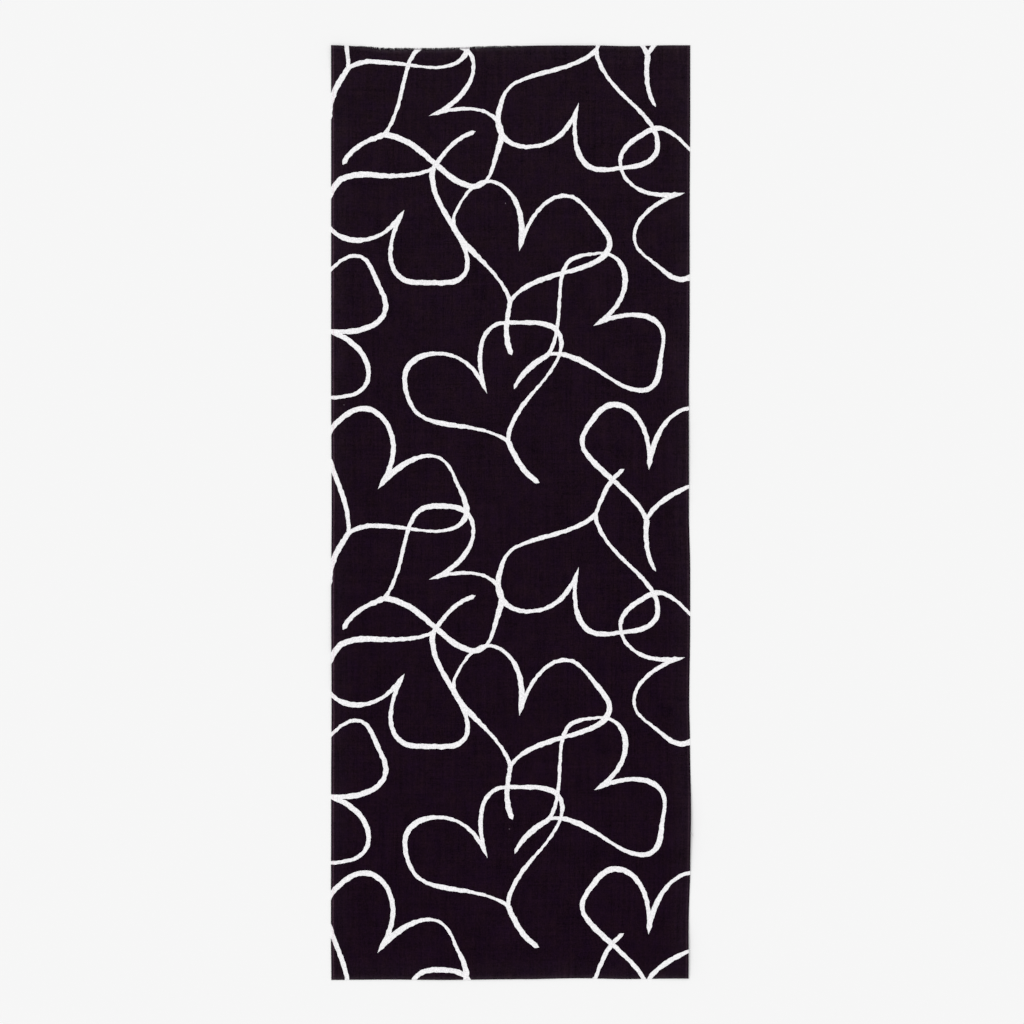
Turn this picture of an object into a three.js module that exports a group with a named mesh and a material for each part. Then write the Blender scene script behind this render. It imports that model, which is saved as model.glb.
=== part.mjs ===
// Tenugui towel: one length of plain-woven cotton, lying flat with its printed face up.
// Millimetres, +Z up. +Y runs to the far cut end and +X to the right selvedge.
// The origin is under the middle of the cloth, on the surface that it lies on.

import * as THREE from "three";

// Size of the cloth
const clothWidth = 346;
const clothLength = 900;
const clothThickness = 1;

// Cells of the sheet, and how strongly its columns crowd towards the selvedges, from 0 to 1
const cellsAcross = 20;
const cellsAlong = 46;
const crowding = 0.62;

// The dyed cotton
const dyedCotton = { colour: 0x1b101a, roughness: 0.92, metalness: 0 };

// How far each selvedge stands outside its straight line, by the distance from the near end
const leftSelvedge = [
  { at: 0, out: -0.1 },
  { at: 45, out: 0.3 },
  { at: 190, out: 0.1 },
  { at: 265, out: -0.3 },
  { at: 370, out: 0 },
  { at: 460, out: -0.4 },
  { at: 570, out: 0.1 },
  { at: 900, out: 0.1 },
];
const rightSelvedge = [
  { at: 0, out: -1.2 },
  { at: 45, out: -1.2 },
  { at: 110, out: 0.4 },
  { at: 165, out: 1.1 },
  { at: 231, out: 0.2 },
  { at: 265, out: -0.5 },
  { at: 340, out: 0.4 },
  { at: 395, out: 0.4 },
  { at: 450, out: -0.8 },
  { at: 560, out: -0.9 },
  { at: 635, out: -0.1 },
  { at: 730, out: -0.1 },
  { at: 840, out: 0.4 },
  { at: 900, out: 0.4 },
];

// How far each cut end stands outside its straight line, by the distance from the left selvedge
const nearEnd = [
  { at: 0, out: 0.7 },
  { at: 50, out: 0.3 },
  { at: 105, out: 0.6 },
  { at: 185, out: -0.1 },
  { at: 240, out: -1 },
  { at: 285, out: -0.2 },
  { at: 346, out: -0.8 },
];
const farEnd = [
  { at: 0, out: 1 },
  { at: 30, out: 0 },
  { at: 55, out: -1.7 },
  { at: 100, out: -1.7 },
  { at: 160, out: 0.2 },
  { at: 210, out: 0.8 },
  { at: 255, out: 0.8 },
  { at: 287, out: 0.2 },
  { at: 325, out: 1.1 },
  { at: 346, out: 1.1 },
];

// Where the edge stands off the surface: the middle of each lift, its height and its reach
const edgeLifts = [
  { x: 173, y: -306, height: 2.4, reachAcross: 38, reachAlong: 64 },
  { x: 173, y: -424, height: 2.1, reachAcross: 46, reachAlong: 48 },
  { x: 173, y: 60, height: 1.2, reachAcross: 30, reachAlong: 90 },
  { x: -173, y: -120, height: 0.9, reachAcross: 28, reachAlong: 110 },
  { x: -173, y: 450, height: 1.6, reachAcross: 44, reachAlong: 36 },
  { x: 60, y: 452, height: 1, reachAcross: 90, reachAlong: 30 },
];

// The value between two rows of a table, eased so that the line has no corners
function readRow(table, at) {
  const next = table.findIndex((row) => row.at >= at);
  if (next <= 0) {
    return next === 0 ? table[0].out : table[table.length - 1].out;
  }
  const before = table[next - 1];
  const after = table[next];
  const share = THREE.MathUtils.smoothstep(at, before.at, after.at);
  return THREE.MathUtils.lerp(before.out, after.out, share);
}

// Height of the underside over the surface, which is 0 wherever no lift reaches
function undersideHeight(x, y) {
  let height = 0;
  for (const lift of edgeLifts) {
    const away = Math.hypot((x - lift.x) / lift.reachAcross, (y - lift.y) / lift.reachAlong);
    height += lift.height * Math.cos((Math.min(away, 1) * Math.PI) / 2) ** 2;
  }
  return height;
}

// A point of the plain rectangle, with its columns crowded and its edges moved to the real outline
function onCloth(x, y) {
  const across = x / clothWidth + 0.5;
  const along = y / clothLength + 0.5;
  const turn = 2 * Math.PI * across;
  const crowded = across - (crowding * Math.sin(turn)) / (2 * Math.PI);
  const fromLeft = crowded * clothWidth;
  const fromNearEnd = along * clothLength;
  const left = -readRow(leftSelvedge, fromNearEnd);
  const right = clothWidth + readRow(rightSelvedge, fromNearEnd);
  const near = -readRow(nearEnd, fromLeft);
  const far = clothLength + readRow(farEnd, fromLeft);
  return {
    x: THREE.MathUtils.lerp(left, right, crowded) - clothWidth / 2,
    y: THREE.MathUtils.lerp(near, far, along) - clothLength / 2,
  };
}

// The whole cloth is one sheet: its ends are raw cut and its sides are woven selvedges, with no hem
function makeCloth() {
  const sheet = new THREE.BoxGeometry(clothWidth, clothLength, clothThickness, cellsAcross, cellsAlong, 1);
  const points = sheet.getAttribute("position");
  for (let i = 0; i < points.count; i += 1) {
    const { x, y } = onCloth(points.getX(i), points.getY(i));
    const layer = points.getZ(i) > 0 ? clothThickness : 0;
    points.setXYZ(i, x, y, undersideHeight(x, y) + layer);
  }

  // The uneven outline is centred, so that the origin stays under the middle
  sheet.computeBoundingBox();
  const middle = sheet.boundingBox.getCenter(new THREE.Vector3());
  sheet.translate(-middle.x, -middle.y, 0);
  sheet.computeVertexNormals();

  const material = new THREE.MeshStandardMaterial({
    color: dyedCotton.colour,
    roughness: dyedCotton.roughness,
    metalness: dyedCotton.metalness,
  });
  const cloth = new THREE.Mesh(sheet, material);
  cloth.name = "cloth";
  return cloth;
}

const towel = new THREE.Group();
towel.add(makeCloth());

export default towel;
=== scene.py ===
import math

import bpy
import numpy as np
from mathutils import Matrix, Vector
from mathutils.geometry import delaunay_2d_cdt
from mathutils.kdtree import KDTree


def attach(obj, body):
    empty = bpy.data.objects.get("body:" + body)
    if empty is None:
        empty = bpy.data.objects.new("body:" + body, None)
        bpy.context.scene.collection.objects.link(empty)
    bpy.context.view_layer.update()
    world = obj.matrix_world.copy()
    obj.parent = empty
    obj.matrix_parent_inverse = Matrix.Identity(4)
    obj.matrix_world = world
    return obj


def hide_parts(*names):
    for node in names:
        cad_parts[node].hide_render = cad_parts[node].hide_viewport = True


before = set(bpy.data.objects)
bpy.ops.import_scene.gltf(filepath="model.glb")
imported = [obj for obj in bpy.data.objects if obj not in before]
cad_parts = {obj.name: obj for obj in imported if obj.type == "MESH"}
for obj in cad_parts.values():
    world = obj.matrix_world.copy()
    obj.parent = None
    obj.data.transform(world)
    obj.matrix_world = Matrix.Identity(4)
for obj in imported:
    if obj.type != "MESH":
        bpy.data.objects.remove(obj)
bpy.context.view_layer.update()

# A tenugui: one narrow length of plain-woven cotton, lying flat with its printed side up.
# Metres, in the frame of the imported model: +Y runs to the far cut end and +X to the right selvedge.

mm = 0.001

# What a user would change in the shape of the cloth. Each edge is a list of pairs in mm: a distance along
# it, and how far it stands outside its straight line there. The edges and lifts are those of the packed
# sheet, apart from the last lift, which is too low for that sheet.
sheetShape = {
    "width": 346 * mm,
    "length": 900 * mm,
    "thickness": 0.55 * mm,
    "airUnder": 0.05 * mm,
    "leftSelvedge": [(0, -0.1), (45, 0.3), (190, 0.1), (265, -0.3), (370, 0), (460, -0.4), (570, 0.1),
                     (900, 0.1)],
    "rightSelvedge": [(0, -1.2), (45, -1.2), (110, 0.4), (165, 1.1), (231, 0.2), (265, -0.5), (340, 0.4),
                      (395, 0.4), (450, -0.8), (560, -0.9), (635, -0.1), (730, -0.1), (840, 0.4),
                      (900, 0.4)],
    "nearEnd": [(0, 0.7), (50, 0.3), (105, 0.6), (185, -0.1), (240, -1), (285, -0.2), (346, -0.8)],
    "farEnd": [(0, 1), (30, 0), (55, -1.7), (100, -1.7), (160, 0.2), (210, 0.8), (255, 0.8), (287, 0.2),
               (325, 1.1), (346, 1.1)],
    # Middle across and along, height, and reach across and along, in mm
    "lifts": [(173, -306, 2.4, 38, 64), (173, -424, 2.1, 46, 48), (173, 60, 1.2, 30, 90),
              (-173, -120, 0.9, 28, 110), (-173, 450, 1.6, 44, 36), (60, 452, 1, 90, 30),
              (-10, -452, 0.42, 165, 26)],
    "rippleHeight": 0.22 * mm,
    # How fast each ripple turns across and along, in radians a metre, and where in its turn it starts
    "ripples": [(31, 9, 0), (-13, 57, 2), (74, 40, 4)],
    "frayed": (48 * mm, 168 * mm),  # the stretch of the far end that has lost its last weft threads
    "frayEase": 26 * mm,
    "frayDepth": 1.8 * mm,
    "frayReach": 12 * mm,  # how far back from the end the cloth is drawn in
    "borderStep": 3 * mm,
    "fieldStep": 4.6 * mm,  # between the mesh points of the plain field
    "clearOfLines": 2.1 * mm,  # no field point comes nearer to a printed line
    "sharpRim": 50,  # degrees between faces, over which an edge looks sharp
}


# The value between two rows of a table, eased so that the line has no corners
def easedRow(table, at):
    places, values = np.array(table, float).T * mm
    row = np.clip(np.searchsorted(places, at) - 1, 0, len(places) - 2)
    share = np.clip((at - places[row]) / (places[row + 1] - places[row]), 0, 1)
    eased = share * share * (3 - 2 * share)
    return values[row] + (values[row + 1] - values[row]) * eased


# How far the far end has frayed, from 0 to 1
def frayShare(across):
    start, end = sheetShape["frayed"]
    outside = np.maximum(start - across, across - end)
    return np.clip(1 - outside / sheetShape["frayEase"], 0, 1)


# How far an edge stands out where it stands out most
def furthestOut(edge):
    return max(out for at, out in sheetShape[edge]) * mm


# From the flat cut, measured from the left selvedge and the near end, to its place on the surface
def onSurface(across, along):
    width, length = sheetShape["width"], sheetShape["length"]
    middleX = (width + furthestOut("rightSelvedge") - furthestOut("leftSelvedge")) / 2
    middleY = (length + furthestOut("farEnd") - furthestOut("nearEnd")) / 2
    left = -easedRow(sheetShape["leftSelvedge"], along)
    right = width + easedRow(sheetShape["rightSelvedge"], along)
    near = -easedRow(sheetShape["nearEnd"], across)
    far = length + easedRow(sheetShape["farEnd"], across)
    x = left + (right - left) * across / width - middleX
    y = near + (far - near) * along / length - middleY
    return x, y


# Height of the underside: the lifted stretches of the edge, and ripples too low to see face on
def undersideHeight(x, y):
    height = np.full_like(x, sheetShape["airUnder"])
    for middleX, middleY, peak, reachX, reachY in np.array(sheetShape["lifts"]) * mm:
        away = np.hypot((x - middleX) / reachX, (y - middleY) / reachY)
        height += peak * np.cos(np.minimum(away, 1) * math.pi / 2) ** 2
    ripples = sheetShape["ripples"]
    ripple = sum(np.sin(turnX * x + turnY * y + start) for turnX, turnY, start in ripples)
    return height + sheetShape["rippleHeight"] * (ripple / len(ripples) + 1) / 2


# The print: leaves outlined by a brush, with a line for each side of the blade and one for the stem
leafPrint = {
    "repeat": 448 * mm,  # along the cloth
    "start": -16 * mm,  # where the first whole repeat starts, from the near end
    "lineWidth": 4.05 * mm,
    "lineStep": 1.1 * mm,  # between the points of a line
    "swell": 0.34,  # how much of its width the brush gives and takes
    "swellReach": 34 * mm,
    "rag": [(0.22 * mm, 1.3 * mm), (0.34 * mm, 3.4 * mm)],  # height and reach of the unevenness of its edges
    "longestPoint": 8 * mm,  # how far the point of a notch may run on
    "stemTip": 3 * mm,
    "thinnest": 0.12 * mm,  # from the middle of a line to its edge, at a tip
    "seed": 11,
}
# What all the leaves have in common
leafCurve = {
    "middle": 0.55,  # the share of the blade from its foot to the place that the leaf is set by
    "shoulderPower": 4,  # a higher one gives squarer shoulders
    "shoulderEase": 0.6,
    "notchWidth": 0.13,
    "waves": 12,  # how fast the waves turn along a side
    "waveShift": 40,  # how far a leaf's notchAt moves its waves
    "neckSpread": 0.22,  # the share of the fan just above the foot
    "neckEase": 0.55,
    "footBend": 0.35,  # the share of the leaf's bend at the foot
    "stemCurl": 1.5,
    "footGap": 1e-7,  # how near to the foot a side starts
    "footStretch": 0.1,  # the share of a side over which its points crowd towards the foot
    "footPoints": 200,
    "sidePoints": 300,
    "notchPoints": 9,
    "stemPoints": 60,
    "leastOpening": 0.05,  # the sine of half a notch's angle, where the notch is sharpest
}
# A row for each leaf of one repeat. across and along place the middle of the blade, in mm. turn is how far
# the leaf leans to the left of the way along the cloth, and spread is half its fan, in degrees. notchAt
# runs from -1 to 1 over the fan. notch, wave and stem are shares of the blade, and bend is in radians.
leafColumns = ("across", "along", "blade", "turn", "spread", "notchAt", "notch", "wave", "stem", "bend")
leafRows = [
    (58, 52, 124, -38, 72, 0.04, 0.50, 0.03, 0.42, 0.35),
    (314, 76, 120, -8, 70, 0.06, 0.50, 0.03, 0.42, 0.30),
    (6, 196, 112, -100, 72, -0.05, 0.48, 0.03, 0.45, -0.35),
    (148, 150, 124, 20, 74, 0.03, 0.52, 0.03, 0.40, 0.30),
    (266, 200, 116, -62, 72, 0.05, 0.46, 0.03, 0.40, 0.30),
    (66, 296, 118, 150, 74, -0.04, 0.50, 0.03, 0.45, -0.35),
    (190, 286, 122, -15, 72, 0.05, 0.50, 0.03, 0.42, 0.30),
    (328, 318, 116, 105, 74, -0.05, 0.48, 0.03, 0.42, -0.30),
    (112, 404, 118, -72, 72, 0.05, 0.50, 0.03, 0.42, 0.35),
    (238, 398, 124, 165, 74, -0.03, 0.50, 0.03, 0.42, -0.30),
]
leaves = [dict(zip(leafColumns, row)) for row in leafRows]


# The smooth curve through four values at even steps, at a share of the way from here to there
def smoothBetween(before, here, there, after, share):
    slope = (there - before) * share
    curve = (2 * before - 5 * here + 4 * there - after) * share ** 2
    turn = (3 * here - before - 3 * there + after) * share ** 3
    return (2 * here + slope + curve + turn) / 2


# A smooth random line through count points, with a new level every few of them
def randomLine(chance, count, pointsPerLevel):
    levels = chance.uniform(-1, 1, int(count / pointsPerLevel) + 4)
    place = np.linspace(1, len(levels) - 2.001, count)  # every point has two levels after it
    first = place.astype(int)
    before, here, there, after = (levels[first + step] for step in (-1, 0, 1, 2))
    return smoothBetween(before, here, there, after, place - first)


# How far along its line each point is
def runAlong(points):
    return np.append(0, np.cumsum(np.hypot(*np.diff(points, axis=0).T)))


# A line's points laid out again at even steps
def evenSteps(points, step):
    run = runAlong(points)
    places = np.linspace(0, run[-1], max(int(run[-1] / step), 2) + 1)
    return np.stack([np.interp(places, run, points[:, side]) for side in (0, 1)], axis=1)


# Points given by their distance and angle from the foot of a leaf's blade
def fromFoot(leaf, distance, angle):
    turn = math.radians(leaf["turn"])
    heading = turn + angle
    toMiddle = leafCurve["middle"] * leaf["blade"] * mm
    footAcross = leaf["across"] * mm + toMiddle * math.sin(turn)
    footAlong = leaf["along"] * mm - toMiddle * math.cos(turn)
    across = footAcross - distance * np.sin(heading)
    along = footAlong + distance * np.cos(heading)
    return np.stack([across, along], axis=1)


# The blade's margin, where place runs from -1 at one side of the foot, over the fan, to 1 at the other
def bladeMargin(leaf, place):
    curve = leafCurve
    shoulders = (1 - np.abs(place) ** curve["shoulderPower"]) ** curve["shoulderEase"]
    notch = leaf["notch"] * np.exp(-np.abs(place - leaf["notchAt"]) / curve["notchWidth"])
    waves = leaf["wave"] * np.cos(curve["waves"] * place + curve["waveShift"] * leaf["notchAt"])
    reach = shoulders * (1 - notch + waves)
    opened = curve["neckSpread"] + (1 - curve["neckSpread"]) * reach ** curve["neckEase"]
    fan = place * math.radians(leaf["spread"]) * opened
    bend = curve["footBend"] * leaf["bend"] * (1 - reach) ** 2
    return fromFoot(leaf, reach * leaf["blade"] * mm, fan + bend)


# One side of the margin, from the foot to the point of the notch. side is -1 on the left and 1 on the right.
def bladeSide(leaf, side):
    curve = leafCurve
    byFoot = 1 - np.geomspace(curve["footGap"], curve["footStretch"], curve["footPoints"])
    onward = np.linspace(side * (1 - curve["footStretch"]), leaf["notchAt"], curve["sidePoints"])[1:]
    return bladeMargin(leaf, np.concatenate([side * byFoot, onward]))


def bladeStem(leaf):
    down = np.linspace(0, 1, leafCurve["stemPoints"])
    angle = leaf["bend"] * (down ** leafCurve["stemCurl"] + leafCurve["footBend"] * (1 - down) ** 2)
    return fromFoot(leaf, -down * leaf["stem"] * leaf["blade"] * mm, angle)


def unit(direction):
    return direction / np.hypot(*direction)


# A leaf's three lines, each with the length of the tip that it ends in. The two sides meet in the point of
# the notch, which runs on for as far as their outer edges take to cross.
def leafLines(leaf):
    left, right = (bladeSide(leaf, side) for side in (-1, 1))
    leftWay, rightWay = (unit(line[-1] - line[-4]) for line in (left, right))  # over the last three steps
    pointWay = unit(leftWay + rightWay)
    opening = math.sqrt(max(1 - float(leftWay @ pointWay) ** 2, 0))
    opening = max(opening, leafCurve["leastOpening"])
    tip = min(leafPrint["lineWidth"] / 2 / opening, leafPrint["longestPoint"])
    point = left[-1] + pointWay * np.linspace(0, tip, leafCurve["notchPoints"])[1:, None]
    return [(np.concatenate([left, point]), tip), (np.concatenate([right, point]), tip),
            (bladeStem(leaf), leafPrint["stemTip"])]


# The two ragged edges of a brush line that swells and thins, and tapers into its tip
def brushEdges(line, tip, chance):
    step = leafPrint["lineStep"]
    points = evenSteps(line, step)
    count = len(points)
    heading = np.gradient(points, axis=0)
    heading = heading / np.hypot(*heading.T)[:, None]
    sideways = np.stack([-heading[:, 1], heading[:, 0]], axis=1)
    run = runAlong(points)
    taper = np.minimum(1, (run[-1] - run) / tip)
    swell = leafPrint["swell"] * randomLine(chance, count, leafPrint["swellReach"] / step)
    edges = []
    for side in (1, -1):
        half = leafPrint["lineWidth"] / 2 * (1 + swell)
        for height, reach in leafPrint["rag"]:
            half = half + height * randomLine(chance, count, reach / step)
        half = np.maximum(half * taper, leafPrint["thinnest"])
        edges.append(points + side * sideways * half[:, None])
    return edges


# The brush lines of enough repeats to cover the cloth, as pairs of edges
def printedLines():
    chance = np.random.default_rng(leafPrint["seed"])
    oneRepeat = [brushEdges(line, tip, chance) for leaf in leaves for line, tip in leafLines(leaf)]
    lines = []
    for turn in range(-1, math.ceil(sheetShape["length"] / leafPrint["repeat"]) + 1):
        shift = np.array([0, leafPrint["start"] + turn * leafPrint["repeat"]])
        lines += [(left + shift, right + shift) for left, right in oneRepeat]
    return lines


# A loop of points round the flat cut, anticlockwise
def borderPoints():
    width, length, step = (sheetShape[key] for key in ("width", "length", "borderStep"))
    corners = np.array([(0, 0), (width, 0), (width, length), (0, length), (0, 0)])
    sides = []
    for start, end in zip(corners[:-1], corners[1:]):
        count = round(np.hypot(*(end - start)) / step)
        sides.append(start + (end - start) * np.arange(count)[:, None] / count)
    return np.concatenate(sides)


# Staggered rows of points over the plain field, clear of the border and of the printed lines
def fieldPoints(lines):
    width, length, step = (sheetShape[key] for key in ("width", "length", "fieldStep"))
    margin = step / 3
    rowStep = step * math.sqrt(0.75)  # gives triangles with even sides
    rows = np.arange(step / 2, length - margin, rowStep)
    columns = np.arange(step / 2, width - step / 2, step)
    across, along = np.meshgrid(columns, rows)
    across = across + (np.arange(len(rows)) % 2)[:, None] * step / 2
    points = np.stack([across.ravel(), along.ravel()], axis=1)
    points = points[points[:, 0] < width - margin]
    taken = np.concatenate([edge for line in lines for edge in line])
    tree = KDTree(len(taken))
    for index, (x, y) in enumerate(taken):
        tree.insert((x, y, 0), index)
    tree.balance()
    free = [tree.find((x, y, 0))[2] > sheetShape["clearOfLines"] for x, y in points]
    return points[free]


# Triangles of the flat cut, in which the printed lines have edges of their own. The triangulation says
# which faces each triangle lies in: face 0 is the whole cloth, and any other is a piece of a line.
def cutTriangles():
    lines = printedLines()
    width, length = sheetShape["width"], sheetShape["length"]
    border = borderPoints()
    points = [border, fieldPoints(lines)]
    faces = [list(range(len(border)))]
    start = len(border) + len(points[1])
    for left, right in lines:
        both = np.concatenate([left, right])
        onCloth = (both[:, 0] > 0) & (both[:, 0] < width) & (both[:, 1] > 0) & (both[:, 1] < length)
        count = len(left)
        quads = [(i, i + count, i + 1 + count, i + 1) for i in range(count - 1)]
        quads = [quad for quad in quads if onCloth[list(quad)].any()]
        if quads:
            faces += [[start + corner for corner in quad] for quad in quads]
            points.append(both)
            start += len(both)
    points = [Vector(point) for point in np.concatenate(points) / mm]
    insideFaces = 1  # asks for triangles, and only inside the faces
    mergedWithin = 0.01  # mm
    places, _, triangles, _, _, owners = delaunay_2d_cdt(points, [], faces, insideFaces, mergedWithin)
    onCut = [i for i, owner in enumerate(owners) if 0 in owner]
    used, corners = np.unique([triangles[i] for i in onCut], return_inverse=True)
    printed = np.array([len(owners[i]) > 1 for i in onCut])
    return np.array([tuple(places[i]) for i in used]) * mm, corners.reshape(-1, 3), printed


# How much of the cloth is in printed lines
def printedShare(flat, corners, printed):
    first, second, third = (flat[corners[:, side]] for side in (0, 1, 2))
    sizes = np.abs(np.cross(second - first, third - first))
    return sizes[printed].sum() / sizes.sum()


# The cloth, as a closed sheet whose two faces share one cut. Finishes 0 and 1 are those of the dyed field
# and the printed lines on the face, and 2 and 3 those on the back.
def makeCloth(flat, corners, printed):
    x, y = onSurface(flat[:, 0], flat[:, 1])
    fromFarEnd = sheetShape["length"] - flat[:, 1]
    drawnIn = np.clip(1 - fromFarEnd / sheetShape["frayReach"], 0, 1)
    y = y - sheetShape["frayDepth"] * frayShare(flat[:, 0]) * drawnIn
    under = undersideHeight(x, y)
    over = under + sheetShape["thickness"]
    count = len(flat)
    places = np.concatenate([np.stack([x, y, over], axis=1), np.stack([x, y, under], axis=1)])
    rim, rimPrinted = rimEdges(corners, printed)
    backs = corners[:, ::-1] + count
    sides = np.stack([rim[:, 0] + count, rim[:, 1] + count, rim[:, 1], rim[:, 0]], axis=1)
    mesh = bpy.data.meshes.new("towelCloth")
    mesh.from_pydata(places.tolist(), [], corners.tolist() + backs.tolist() + sides.tolist())
    finishes = np.concatenate([printed, 2 + printed, rimPrinted]).astype(int)
    mesh.polygons.foreach_set("material_index", finishes)
    flatMap(mesh, flat, corners, sides)
    bakeMap(mesh, flat, corners, printed, rim, rimPrinted)
    mesh.validate()
    mesh.shade_smooth()
    mesh.set_sharp_from_angle(angle=math.radians(sheetShape["sharpRim"]))
    return newPiece("towelCloth", mesh)


def newPiece(name, mesh):
    piece = bpy.data.objects.new(name, mesh)
    bpy.context.scene.collection.objects.link(piece)
    return piece


# The edges round the rim of the cut, and whether a printed line runs off the cloth there
def rimEdges(corners, printed):
    edges = np.concatenate([corners[:, [0, 1]], corners[:, [1, 2]], corners[:, [2, 0]]])
    owners = np.tile(printed, 3)
    ordered = np.sort(edges, axis=1)
    _, first, times = np.unique(ordered, axis=0, return_index=True, return_counts=True)
    single = first[times == 1]
    return edges[single], owners[single]


# Where each corner of each face lies on the flat cut, in metres, for the finishes
def flatMap(mesh, flat, corners, sides):
    faces = flat[corners].reshape(-1, 2)
    backs = flat[corners[:, ::-1]].reshape(-1, 2)
    rims = flat[sides % len(flat)].reshape(-1, 2)
    mesh.uv_layers.new(name="flatCut").uv.foreach_set("vector", np.concatenate([faces, backs, rims]).ravel())


# A map for baking: both faces side by side, and their printed lines apart from the dyed field, so that no
# colour runs over the edge of a line. start is in pixels, scale in pixels a mm.
bakePlan = {
    "pixels": 1024,
    "bottom": 8,
    "rimBand": 1.5,
    "faceField": {"start": 6, "scale": 1.0},
    "faceLines": {"start": 358, "scale": 0.68},
    "backField": {"start": 600, "scale": 0.68},
    "backLines": {"start": 842, "scale": 0.5},
}


# Where points of the flat cut go on that map. side is face or back.
def bakePlaces(points, inLines, side):
    field, lines = bakePlan[side + "Field"], bakePlan[side + "Lines"]
    scale = np.where(inLines, lines["scale"], field["scale"])[:, None, None]
    start = np.where(inLines, lines["start"], field["start"])
    places = points / mm * scale
    places[..., 0] += start[:, None]
    places[..., 1] += bakePlan["bottom"]
    return places / bakePlan["pixels"]


# The rim gets a narrow band of the map just outside the face
def bakeMap(mesh, flat, corners, printed, rim, rimPrinted):
    faces = bakePlaces(flat[corners], printed, "face")
    backs = bakePlaces(flat[corners[:, ::-1]], printed, "back")
    rims = bakePlaces(flat[rim[:, [0, 1, 1, 0]]], rimPrinted, "face")
    run = flat[rim[:, 1]] - flat[rim[:, 0]]
    outward = np.stack([run[:, 1], -run[:, 0]], axis=1) / np.hypot(*run.T)[:, None]
    rims[:, :2] += outward[:, None] * bakePlan["rimBand"] / bakePlan["pixels"]
    places = np.concatenate([faces.ravel(), backs.ravel(), rims.ravel()])
    mesh.uv_layers.new(name="OFBake").uv.foreach_set("vector", places)


# The ends of the warp at both cut ends. They stand out by a hair, and lie bare where the weft is gone.
warpEnds = {
    "pitch": 0.5 * mm,
    "thickness": 0.44 * mm,
    "thicknessVaries": 0.12,
    "thinsBy": 0.2,  # from its start to its tip
    "sides": 4,
    "joints": 3,
    "bedded": 0.6 * mm,  # how far each end starts inside the cloth
    "reach": 0.1 * mm,
    "reachVaries": 0.7,
    "frayedReach": 0.28 * mm,
    "lean": 0.08 * mm,
    "frayedLean": 0.2 * mm,
    "tuftThreads": 4,  # the bare ends draw together in tufts of about this many
    "tuftReach": 0.22 * mm,
    "tuftLean": 0.5 * mm,
    "seed": 5,
}


# A thread as a tube along a path of points, with a radius at each of them
def threadTube(path, radii, sides):
    heading = np.gradient(path, axis=0)
    heading /= np.linalg.norm(heading, axis=1)[:, None]
    level = np.cross(heading, (0, 0, 1))
    level /= np.linalg.norm(level, axis=1)[:, None]
    upright = np.cross(level, heading)
    turns = np.arange(sides) / sides * math.tau
    ring = level[:, None] * np.cos(turns)[None, :, None] + upright[:, None] * np.sin(turns)[None, :, None]
    points = (path[:, None] + ring * radii[:, None, None]).reshape(-1, 3)
    faces = []
    for joint in range(len(path) - 1):
        for side in range(sides):
            here, there = joint * sides + side, joint * sides + (side + 1) % sides
            faces.append((here, here + sides, there + sides, there))
    last = (len(path) - 1) * sides
    faces.append(tuple(range(sides)))
    faces.append(tuple(last + side for side in reversed(range(sides))))
    return points, faces


# One piece from many tubes, each with the number of its finish
def threadPiece(name, tubes):
    points, faces, finishes = [], [], []
    start = 0
    for tubePoints, tubeFaces, finish in tubes:
        points.append(tubePoints)
        faces += [tuple(start + corner for corner in face) for face in tubeFaces]
        finishes += [finish] * len(tubeFaces)
        start += len(tubePoints)
    mesh = bpy.data.meshes.new(name)
    mesh.from_pydata(np.concatenate(points).tolist(), [], faces)
    mesh.polygons.foreach_set("material_index", finishes)
    mesh.shade_smooth()
    return newPiece(name, mesh)


# Whether a printed line runs off a cut end at each of these places across
def printedAtEnd(flat, rim, rimPrinted, along, across):
    middle = (flat[rim[:, 0]] + flat[rim[:, 1]]) / 2
    hair = mm / 100
    onEnd = np.abs(middle[:, 1] - along) < hair
    places, isPrinted = middle[onEnd, 0], rimPrinted[onEnd]
    nearest = np.abs(places[None, :] - across[:, None]).argmin(axis=1)
    return isPrinted[nearest]


def makeWarpEnds(flat, corners, printed):
    look = warpEnds
    chance = np.random.default_rng(look["seed"])
    rim, rimPrinted = rimEdges(corners, printed)
    across = np.arange(look["pitch"] / 2, sheetShape["width"], look["pitch"])
    count = len(across)
    shares = np.linspace(0, 1, look["joints"])
    tubes = []
    for along, outward in ((0, -1), (sheetShape["length"], 1)):
        bare = frayShare(across) if outward > 0 else np.zeros(count)
        reach = look["reach"] + (look["frayedReach"] - look["reach"]) * bare
        reach = reach * (1 + look["reachVaries"] * chance.uniform(-1, 1, count))
        reach = reach + look["tuftReach"] * bare * randomLine(chance, count, look["tuftThreads"])
        back = look["bedded"] + sheetShape["frayDepth"] * bare
        lean = chance.normal(0, 1, count) * (look["lean"] + (look["frayedLean"] - look["lean"]) * bare)
        lean = lean + look["tuftLean"] * bare * randomLine(chance, count, look["tuftThreads"])
        thickness = look["thickness"] * (1 + look["thicknessVaries"] * chance.uniform(-1, 1, count))
        inLine = printedAtEnd(flat, rim, rimPrinted, along, across)
        edgeX, edgeY = onSurface(across, np.full(count, float(along)))
        height = undersideHeight(edgeX, edgeY) + sheetShape["thickness"] / 2
        for i in range(count):
            pathX = edgeX[i] + lean[i] * shares ** 2
            pathY = edgeY[i] + outward * ((back[i] + reach[i]) * shares - back[i])
            path = np.stack([pathX, pathY, np.full(len(shares), height[i])], axis=1)
            radii = thickness[i] / 2 * (1 - look["thinsBy"] * shares ** 2)
            tubes.append((*threadTube(path, radii, look["sides"]), int(inLine[i])))
    return threadPiece("warpEnds", tubes)


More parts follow.
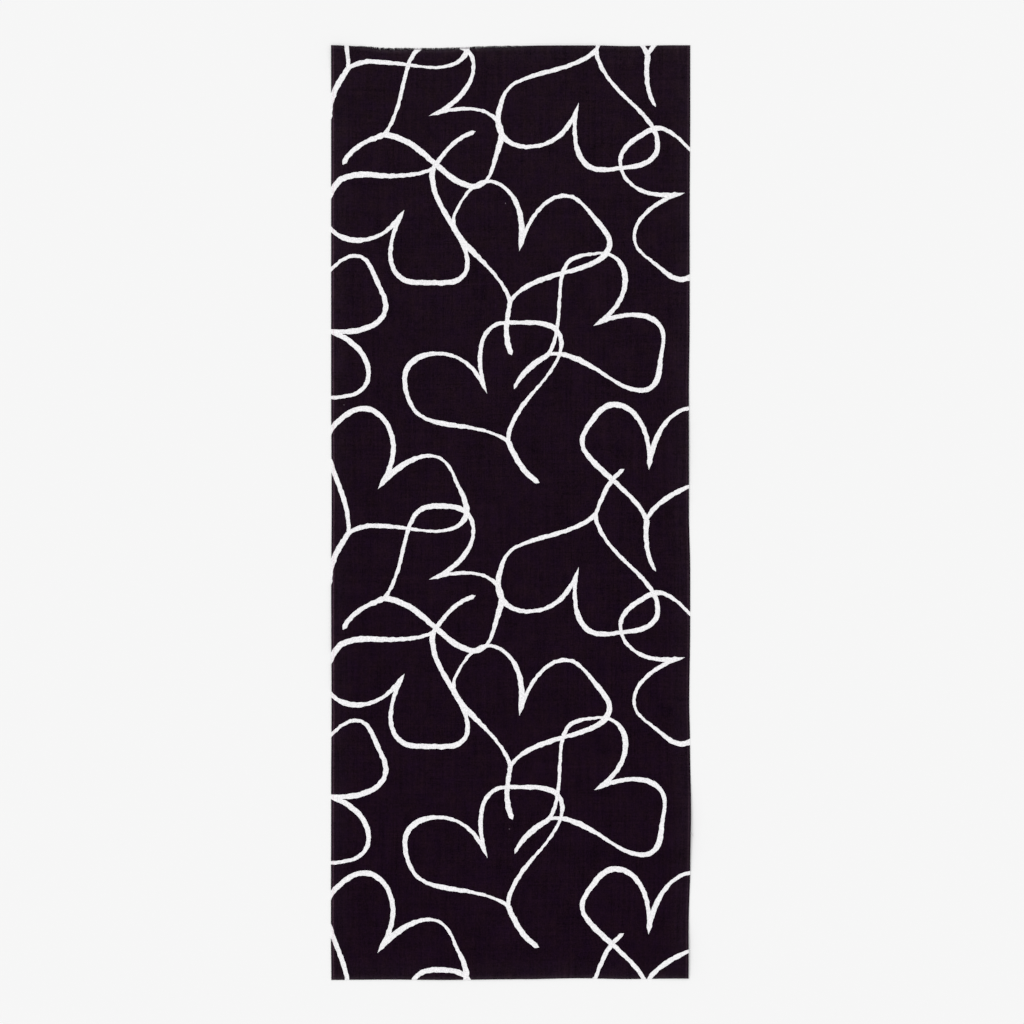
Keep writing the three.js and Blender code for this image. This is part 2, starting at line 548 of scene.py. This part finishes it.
# Threads that have come away from the edge. A row for each: its points as (across, along, height) in mm,
# from the left selvedge, the near end and the underside of the cloth, its thickness in mm, and its finish,
# which is 0 where it is dyed and 1 where it is plain.
looseThreads = {
    "sides": 6,
    "step": 0.6 * mm,
    "tip": 0.5,  # its share of the thickness, which grows at each step away from the tip
    "growth": 0.25,
    "rows": [
        {"path": [(21, 898.8, 0.3), (25, 899.7, 0.6), (30, 900.1, 0.6), (35.5, 899.2, 0.3)],
         "thickness": 0.34, "finish": 0},
        {"path": [(345, 139.6, 0.3), (346.4, 140.6, 0.7), (347.6, 139.1, 0.6), (348.4, 137.4, 0.1)],
         "thickness": 0.3, "finish": 1},
    ],
}


# A smooth curve through all the points of a path
def throughPoints(points, step):
    points = np.array(points, float) * mm
    points = np.concatenate([2 * points[:1] - points[1:2], points, 2 * points[-1:] - points[-2:-1]])
    curve = []
    for before, here, there, after in zip(points, points[1:], points[2:], points[3:]):
        for share in np.arange(0, 1, step / np.linalg.norm(there - here)):
            curve.append(smoothBetween(before, here, there, after, share))
    return np.array(curve + [points[-2]])


def makeLooseThreads():
    tubes = []
    for row in looseThreads["rows"]:
        curve = throughPoints(row["path"], looseThreads["step"])
        x, y = onSurface(curve[:, 0], curve[:, 1])
        path = np.stack([x, y, undersideHeight(x, y) + curve[:, 2]], axis=1)
        fromTip = np.minimum(np.arange(len(path)), np.arange(len(path))[::-1])
        taper = np.minimum(1, looseThreads["tip"] + looseThreads["growth"] * fromTip)
        radii = row["thickness"] / 2 * mm * taper
        tubes.append((*threadTube(path, radii, looseThreads["sides"]), row["finish"]))
    return threadPiece("looseThreads", tubes)


# A socket of a material's nodes, so that shader maths is written as Python expressions
class Wire:
    def __init__(self, tree, socket=None):
        self.tree = tree
        self.socket = socket

    # A new node of any kind: its settings are made first, then the values or links of its sockets
    def node(self, kind, settings, inputs, output=0):
        made = self.tree.nodes.new(kind)
        for name, value in settings.items():
            setattr(made, name, value)
        for name, value in inputs.items():
            if isinstance(value, Wire):
                self.tree.links.new(value.socket, made.inputs[name])
            else:
                made.inputs[name].default_value = value
        return Wire(self.tree, made.outputs[output]) if made.outputs else None

    def maths(self, operation, first, second=0):
        return self.node("ShaderNodeMath", {"operation": operation}, {0: first, 1: second})

    def __add__(self, other):
        return self.maths("ADD", self, other)

    def __sub__(self, other):
        return self.maths("SUBTRACT", self, other)

    def __rsub__(self, other):
        return self.maths("SUBTRACT", other, self)

    def __mul__(self, other):
        return self.maths("MULTIPLY", self, other)

    __radd__ = __add__
    __rmul__ = __mul__


# A new material, and a wire to start its nodes from
def newFinish(name):
    material = bpy.data.materials.new(name)
    material.use_nodes = True
    material.node_tree.nodes.clear()
    return material, Wire(material.node_tree)


# The shader that ends a finish. sockets holds what differs from one finish to another.
def finishWith(start, sockets):
    shader = start.node("ShaderNodeBsdfPrincipled", {}, sockets)
    start.node("ShaderNodeOutputMaterial", {}, {"Surface": shader})


# How all soft blotches are made from noise. contrast brings it to about -1 to 1.
blotchNoise = {"roughness": 0.8, "contrast": 2.6, "sideStep": 1.7}


# Soft blotches of a size across and along the cloth. Each shift gives blotches in other places.
def mottle(start, places, across, along, detail, shift):
    inBlotches = start.node("ShaderNodeVectorMath", {"operation": "MULTIPLY_ADD"},
                            {0: places, 1: (1 / across, 1 / along, 1),
                             2: (shift, shift * blotchNoise["sideStep"], 0)})
    noise = start.node("ShaderNodeTexNoise", {"noise_dimensions": "2D"},
                       {"Vector": inBlotches, "Scale": 1, "Detail": detail,
                        "Roughness": blotchNoise["roughness"]})
    return (noise - 0.5) * blotchNoise["contrast"]


# Rises from 0 to 1 as value goes from low to high, with a soft start and end
def easedStep(start, value, low, high):
    return start.node("ShaderNodeMapRange", {"interpolation_type": "SMOOTHSTEP"},
                      {"Value": value, "From Min": low, "From Max": high, "To Min": 0, "To Max": 1})


# The first colour where share is 0, and the second where it is 1
def blended(start, share, first, second):
    return start.node("ShaderNodeMix", {"data_type": "RGBA"}, {0: share, 6: first, 7: second}, 2)


# A colour made darker or paler by a factor
def toned(start, colour, tone):
    return start.node("ShaderNodeVectorMath", {"operation": "SCALE"}, {0: colour, "Scale": tone})


# The plain weave: warp along the cloth and weft across it
weave = {
    "pitch": 0.5 * mm,
    "roundness": 0.8,  # of a thread, as a share of how far it rises and dips
    "meanHeight": 1.1,  # of the threads, as wovenThreads gives it
    "bumpDepth": 0.06 * mm,
    "bumpStrength": 0.6,
    # painted shade: the colour is darker in the gaps between the threads, where shade falls
    "grooveShadeTone": 0.3,
    "grainHeight": 0.3,
    "grainRoughness": 0.03,
    # Each unevenness: its size across and along, its detail, and its shift
    "warpYarn": (0.6 * mm, 5 * mm, 1, 91),
    "weftYarn": (5 * mm, 0.6 * mm, 1, 97),
    "warpStreaks": (2.2 * mm, 75 * mm, 2, 11),
    "weftStreaks": (60 * mm, 2 * mm, 2, 23),
    "threadGrain": (1.1 * mm, 1.4 * mm, 1, 37),
    "blotches": (26 * mm, 30 * mm, 4, 51),
    "tints": (14 * mm, 18 * mm, 3, 67),
    "tintContrast": 0.9,
    "fadeCurve": 1.6,  # 1 gives an even change from the near end to the far one
    # A row for each thick place in a weft thread: from and to, across, and its place along, in mm
    "slubs": [(107, 194, 671), (295, 332, 612), (36, 88, 388), (214, 262, 204)],
    "slubTaper": 9,  # mm
    "slubEdge": (1.1 * mm, 0.3 * mm),
    # A row for each fleck where the dye missed the threads: place across and along, width and length, in mm
    "flecks": [(168.3, 748.4, 0.9, 1.7), (171.6, 144.9, 1.4, 1.1), (12.4, 554, 1.2, 1)],
}
# Where the edges are worn: the distances from the edge at which the wear starts and is at its full
edgeWear = {
    "ends": (5 * mm, 0.3 * mm),
    "sides": (4.5 * mm, 0.3 * mm),
    "round": (24 * mm, 2 * mm),
    "right": (34 * mm, 8 * mm),
    "lineStarts": (1.2 * mm, 1.9 * mm),  # the thin line inside each selvedge
    "lineEnds": (3.2 * mm, 2.4 * mm),
    "lineTone": 0.5,
    "lineUnevenness": (1, 20 * mm, 3, 83),  # in the order of those of the weave
    "leftToRight": (0.4, 0.6),  # of the width, over which one selvedge's strength gives way to the other's
}
# The dye and the print on both faces, in linear colours, with how strongly each unevenness shows
fieldLook = {
    "nearEnd": (0.0087, 0.00275, 0.0081, 1),
    "farEnd": (0.0110, 0.0046, 0.0100, 1),
    "plumTint": (0.9, 0.84, 1.1, 1),
    "brownTint": (1.1, 1.16, 0.9, 1),
    "warpTone": 0.34,
    "weftTone": 0.26,
    "yarnTone": 0.75,
    "grainTone": 0.55,
    "blotchTone": 0.36,
    "slubTone": 0.25,
    "fleckColour": (0.115, 0.088, 0.11, 1),
    "fleckShare": 1,
    "wornColour": (0.075, 0.06, 0.07, 1),
    "wornEnds": 0.145,
    "wornSides": 0.05,
    "wornRound": 0.03,
    "wornRight": 0.006,
    "selvedgeColour": (0.2, 0.105, 0.155, 1),
    "leftSelvedge": 0.16,
    "rightSelvedge": 0.055,
    "roughness": 0.9,
    "specular": 0.03,
}
lineLook = {
    "nearEnd": (0.89, 0.88, 0.897, 1),
    "farEnd": (0.89, 0.88, 0.897, 1),
    "plumTint": (0.995, 0.995, 1, 1),
    "brownTint": (1, 1, 0.995, 1),
    "warpTone": 0.02,
    "weftTone": 0.015,
    "yarnTone": 0.3,
    "grainTone": 0.25,
    "blotchTone": 0.05,
    "slubTone": 0,
    "fleckColour": (0.8, 0.8, 0.8, 1),
    "fleckShare": 0,
    "wornColour": (0.8, 0.8, 0.8, 1),
    "wornEnds": 0,
    "wornSides": 0,
    "wornRound": 0,
    "wornRight": 0,
    "selvedgeColour": (0.78, 0.62, 0.68, 1),
    "leftSelvedge": 0.5,
    "rightSelvedge": 0.2,
    "roughness": 0.88,
    "specular": 0.06,
}
backFieldLook = {**fieldLook, "nearEnd": (0.0126, 0.0058, 0.0118, 1), "farEnd": (0.0142, 0.007, 0.013, 1)}
backLineLook = {**lineLook, "nearEnd": (0.74, 0.72, 0.74, 1), "farEnd": (0.74, 0.72, 0.74, 1),
                "grainTone": 0.12}


# The dye is worn paler along the edges
def wornEdges(start, across, along, fromSide, look, colour):
    width, length = sheetShape["width"], sheetShape["length"]
    fromEnd = start.maths("MINIMUM", along, length - along)
    fromEdge = start.maths("MINIMUM", fromSide, fromEnd)
    rightStarts, rightFull = (width - distance for distance in edgeWear["right"])
    worn = (look["wornEnds"] * easedStep(start, fromEnd, *edgeWear["ends"])
            + look["wornSides"] * easedStep(start, fromSide, *edgeWear["sides"])
            + look["wornRound"] * easedStep(start, fromEdge, *edgeWear["round"])
            + look["wornRight"] * easedStep(start, across, rightStarts, rightFull))
    return blended(start, worn, colour, look["wornColour"])


# The first warp threads inside each selvedge show as a thin uneven line
def selvedgeLines(start, across, along, fromSide, look, colour):
    thin = (easedStep(start, fromSide, *edgeWear["lineStarts"])
            * easedStep(start, fromSide, *edgeWear["lineEnds"]))
    low, high = (share * sheetShape["width"] for share in edgeWear["leftToRight"])
    atRight = easedStep(start, across, low, high)
    share = look["leftSelvedge"] + (look["rightSelvedge"] - look["leftSelvedge"]) * atRight
    alongOnly = start.node("ShaderNodeCombineXYZ", {}, {"Y": along})
    uneven = 1 + edgeWear["lineTone"] * mottle(start, alongOnly, *edgeWear["lineUnevenness"])
    return blended(start, thin * share * uneven, colour, look["selvedgeColour"])


# 1 on the thick places of the weft, and 0 elsewhere
def slubMask(start, across, along):
    taper = weave["slubTaper"]
    mask = 0
    for left, right, at in weave["slubs"]:
        fromLeft = easedStep(start, across, left * mm, (left + taper) * mm)
        fromRight = easedStep(start, across, right * mm, (right - taper) * mm)
        offThread = start.maths("ABSOLUTE", along - at * mm)
        mask = mask + fromLeft * fromRight * easedStep(start, offThread, *weave["slubEdge"])
    return mask


# 1 on the flecks that the dye missed, and 0 elsewhere
def fleckMask(start, across, along):
    mask = 0
    for left, at, width, length in weave["flecks"]:
        offSide = start.maths("ABSOLUTE", across - left * mm)
        offEnd = start.maths("ABSOLUTE", along - at * mm)
        within = easedStep(start, offSide, width / 2 * mm, width / 4 * mm)
        mask = mask + within * easedStep(start, offEnd, length / 2 * mm, length / 4 * mm)
    return mask


# How high the threads stand, from 0 in the gaps between them, and where the warp is the one on top
def wovenThreads(start, across, along):
    turn = math.pi / weave["pitch"]
    warpSide = start.maths("SINE", across * turn)
    weftSide = start.maths("SINE", along * turn)
    warpHeight = (start.maths("SIGN", warpSide) * weftSide
                  + weave["roundness"] * start.maths("ABSOLUTE", warpSide))
    weftHeight = (weave["roundness"] * start.maths("ABSOLUTE", weftSide)
                  - start.maths("SIGN", weftSide) * warpSide)
    height = start.maths("MAXIMUM", warpHeight, weftHeight)
    return height, start.maths("GREATER_THAN", warpHeight, weftHeight)


# The dye or the print before it is toned: its colour runs from the near end's to the far end's, and its tint
# shifts in soft blotches
def dyeColour(start, places, across, along, look):
    towardsFarEnd = start.maths("POWER", along * (1 / sheetShape["length"]), weave["fadeCurve"])
    colour = blended(start, towardsFarEnd, look["nearEnd"], look["farEnd"])
    tintShare = 0.5 + weave["tintContrast"] * mottle(start, places, *weave["tints"])
    tint = blended(start, tintShare, look["plumTint"], look["brownTint"])
    colour = start.node("ShaderNodeVectorMath", {"operation": "MULTIPLY"}, {0: colour, 1: tint})
    if look["fleckShare"]:
        flecks = look["fleckShare"] * fleckMask(start, across, along)
        colour = blended(start, flecks, colour, look["fleckColour"])
    fromSide = start.maths("MINIMUM", across, sheetShape["width"] - across)
    colour = wornEdges(start, across, along, fromSide, look, colour)
    return selvedgeLines(start, across, along, fromSide, look, colour)


# Cotton with this look on the plain weave
def cottonFinish(name, look):
    material, start = newFinish(name)
    places = start.node("ShaderNodeUVMap", {"uv_map": "flatCut"}, {})
    across = start.node("ShaderNodeSeparateXYZ", {}, {0: places}, 0)
    along = start.node("ShaderNodeSeparateXYZ", {}, {0: places}, 1)
    threads, onWarp = wovenThreads(start, across, along)
    warpYarn = mottle(start, places, *weave["warpYarn"])
    weftYarn = mottle(start, places, *weave["weftYarn"])
    grain = mottle(start, places, *weave["threadGrain"])
    # The last term is painted shade, darker in the gaps between the threads; the others are the yarn's own
    # uneven tone
    tone = (1 + look["warpTone"] * mottle(start, places, *weave["warpStreaks"])
            + look["weftTone"] * mottle(start, places, *weave["weftStreaks"])
            + look["yarnTone"] * (weftYarn + onWarp * (warpYarn - weftYarn))
            + look["grainTone"] * grain
            + look["blotchTone"] * mottle(start, places, *weave["blotches"])
            + weave["grooveShadeTone"] * (threads - weave["meanHeight"]))
    if look["slubTone"]:
        tone = tone + look["slubTone"] * slubMask(start, across, along)
    colour = dyeColour(start, places, across, along, look)
    bump = start.node("ShaderNodeBump", {},
                      {"Strength": weave["bumpStrength"], "Distance": weave["bumpDepth"],
                       "Height": threads + weave["grainHeight"] * grain})
    finishWith(start, {"Base Color": toned(start, colour, tone),
                       "Roughness": look["roughness"] + weave["grainRoughness"] * grain,
                       "Specular IOR Level": look["specular"], "Normal": bump})
    return material


# A single thread, streaked by its fibres
threadLook = {
    "dyed": (0.0120, 0.0056, 0.0112),
    "plain": (0.6, 0.58, 0.6),
    "fibres": (0.2 * mm, 1.2 * mm, 2, 5),  # size across and along, detail, and shift
    "fibreTone": 0.2,
    "fibreRoughness": 0.03,
    "bumpDepth": 0.05 * mm,
    "bumpStrength": 0.4,
    "roughness": 0.92,
    "specular": 0.03,
}


def threadFinish(name, colour):
    look = threadLook
    material, start = newFinish(name)
    places = start.node("ShaderNodeTexCoord", {}, {}, "Object")
    fibres = mottle(start, places, *look["fibres"])
    bump = start.node("ShaderNodeBump", {},
                      {"Strength": look["bumpStrength"], "Distance": look["bumpDepth"], "Height": fibres})
    finishWith(start, {"Base Color": toned(start, colour, 1 + look["fibreTone"] * fibres),
                       "Roughness": look["roughness"] + look["fibreRoughness"] * fibres,
                       "Specular IOR Level": look["specular"], "Normal": bump})
    return material


def dress(piece, finishes):
    for finish in finishes:
        piece.data.materials.append(finish)


# The plain pale floor, the light and the camera
studio = {
    "floorSize": 14,
    "floorColour": (0.9216, 0.9216, 0.9216, 1),
    "fill": 0.64,
    "fillColour": (1, 1, 1, 1),
    "sunStrength": 1.29,
    "sunTilt": (-18, -22, 0),
    "sunSpread": 50,
    "cameraHeight": 3,
    "sensorWidth": 36,
    "seenSize": 988.2 * mm,
    "cameraShiftX": 1.06 * mm,
    "cameraShiftY": 0.58 * mm,
}


def makeFloor():
    half = studio["floorSize"] / 2
    corners = [(-half, -half, 0), (half, -half, 0), (half, half, 0), (-half, half, 0)]
    mesh = bpy.data.meshes.new("studioFloor")
    mesh.from_pydata(corners, [], [(0, 1, 2, 3)])
    floor = newPiece("studioFloor", mesh)
    material, start = newFinish("paleFloor")
    finishWith(start, {"Base Color": studio["floorColour"], "Roughness": 1, "Specular IOR Level": 0})
    dress(floor, [material])


def makeLight():
    world = bpy.data.worlds.new("softFill")
    world.use_nodes = True
    fill = world.node_tree.nodes["Background"]
    fill.inputs["Color"].default_value = studio["fillColour"]
    fill.inputs["Strength"].default_value = studio["fill"]
    bpy.context.scene.world = world
    lamp = bpy.data.lights.new("softSun", "SUN")
    lamp.energy = studio["sunStrength"]
    lamp.angle = math.radians(studio["sunSpread"])
    sun = newPiece("softSun", lamp)
    sun.rotation_euler = [math.radians(tilt) for tilt in studio["sunTilt"]]


def makeCamera():
    lens = bpy.data.cameras.new("camera")
    lens.sensor_width = studio["sensorWidth"]
    lens.lens = lens.sensor_width * studio["cameraHeight"] / studio["seenSize"]
    camera = newPiece("camera", lens)
    camera.location = (studio["cameraShiftX"], studio["cameraShiftY"], studio["cameraHeight"])
    bpy.context.scene.camera = camera
    bpy.context.scene.view_settings.view_transform = "Standard"


makeFloor()
makeLight()
makeCamera()
print("studio: floor, light and camera")

flat, corners, printed = cutTriangles()
share = printedShare(flat, corners, printed)
print(f"cut: {len(corners)} triangles, {share:.1%} of the cloth in printed lines")

cloth = makeCloth(flat, corners, printed)
dress(cloth, [cottonFinish("dyedFace", fieldLook), cottonFinish("printedFace", lineLook),
              cottonFinish("dyedBack", backFieldLook), cottonFinish("printedBack", backLineLook)])
print(f"cloth: {len(cloth.data.polygons)} faces")

threadFinishes = [threadFinish("dyedThread", threadLook["dyed"]),
                  threadFinish("plainThread", threadLook["plain"])]
warp = makeWarpEnds(flat, corners, printed)
loose = makeLooseThreads()
dress(warp, threadFinishes)
dress(loose, threadFinishes)
print(f"threads: {len(warp.data.polygons)} faces of warp ends, {len(loose.data.polygons)} of loose threads")

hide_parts("cloth")
for piece in (cloth, warp, loose):
    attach(piece, "root")
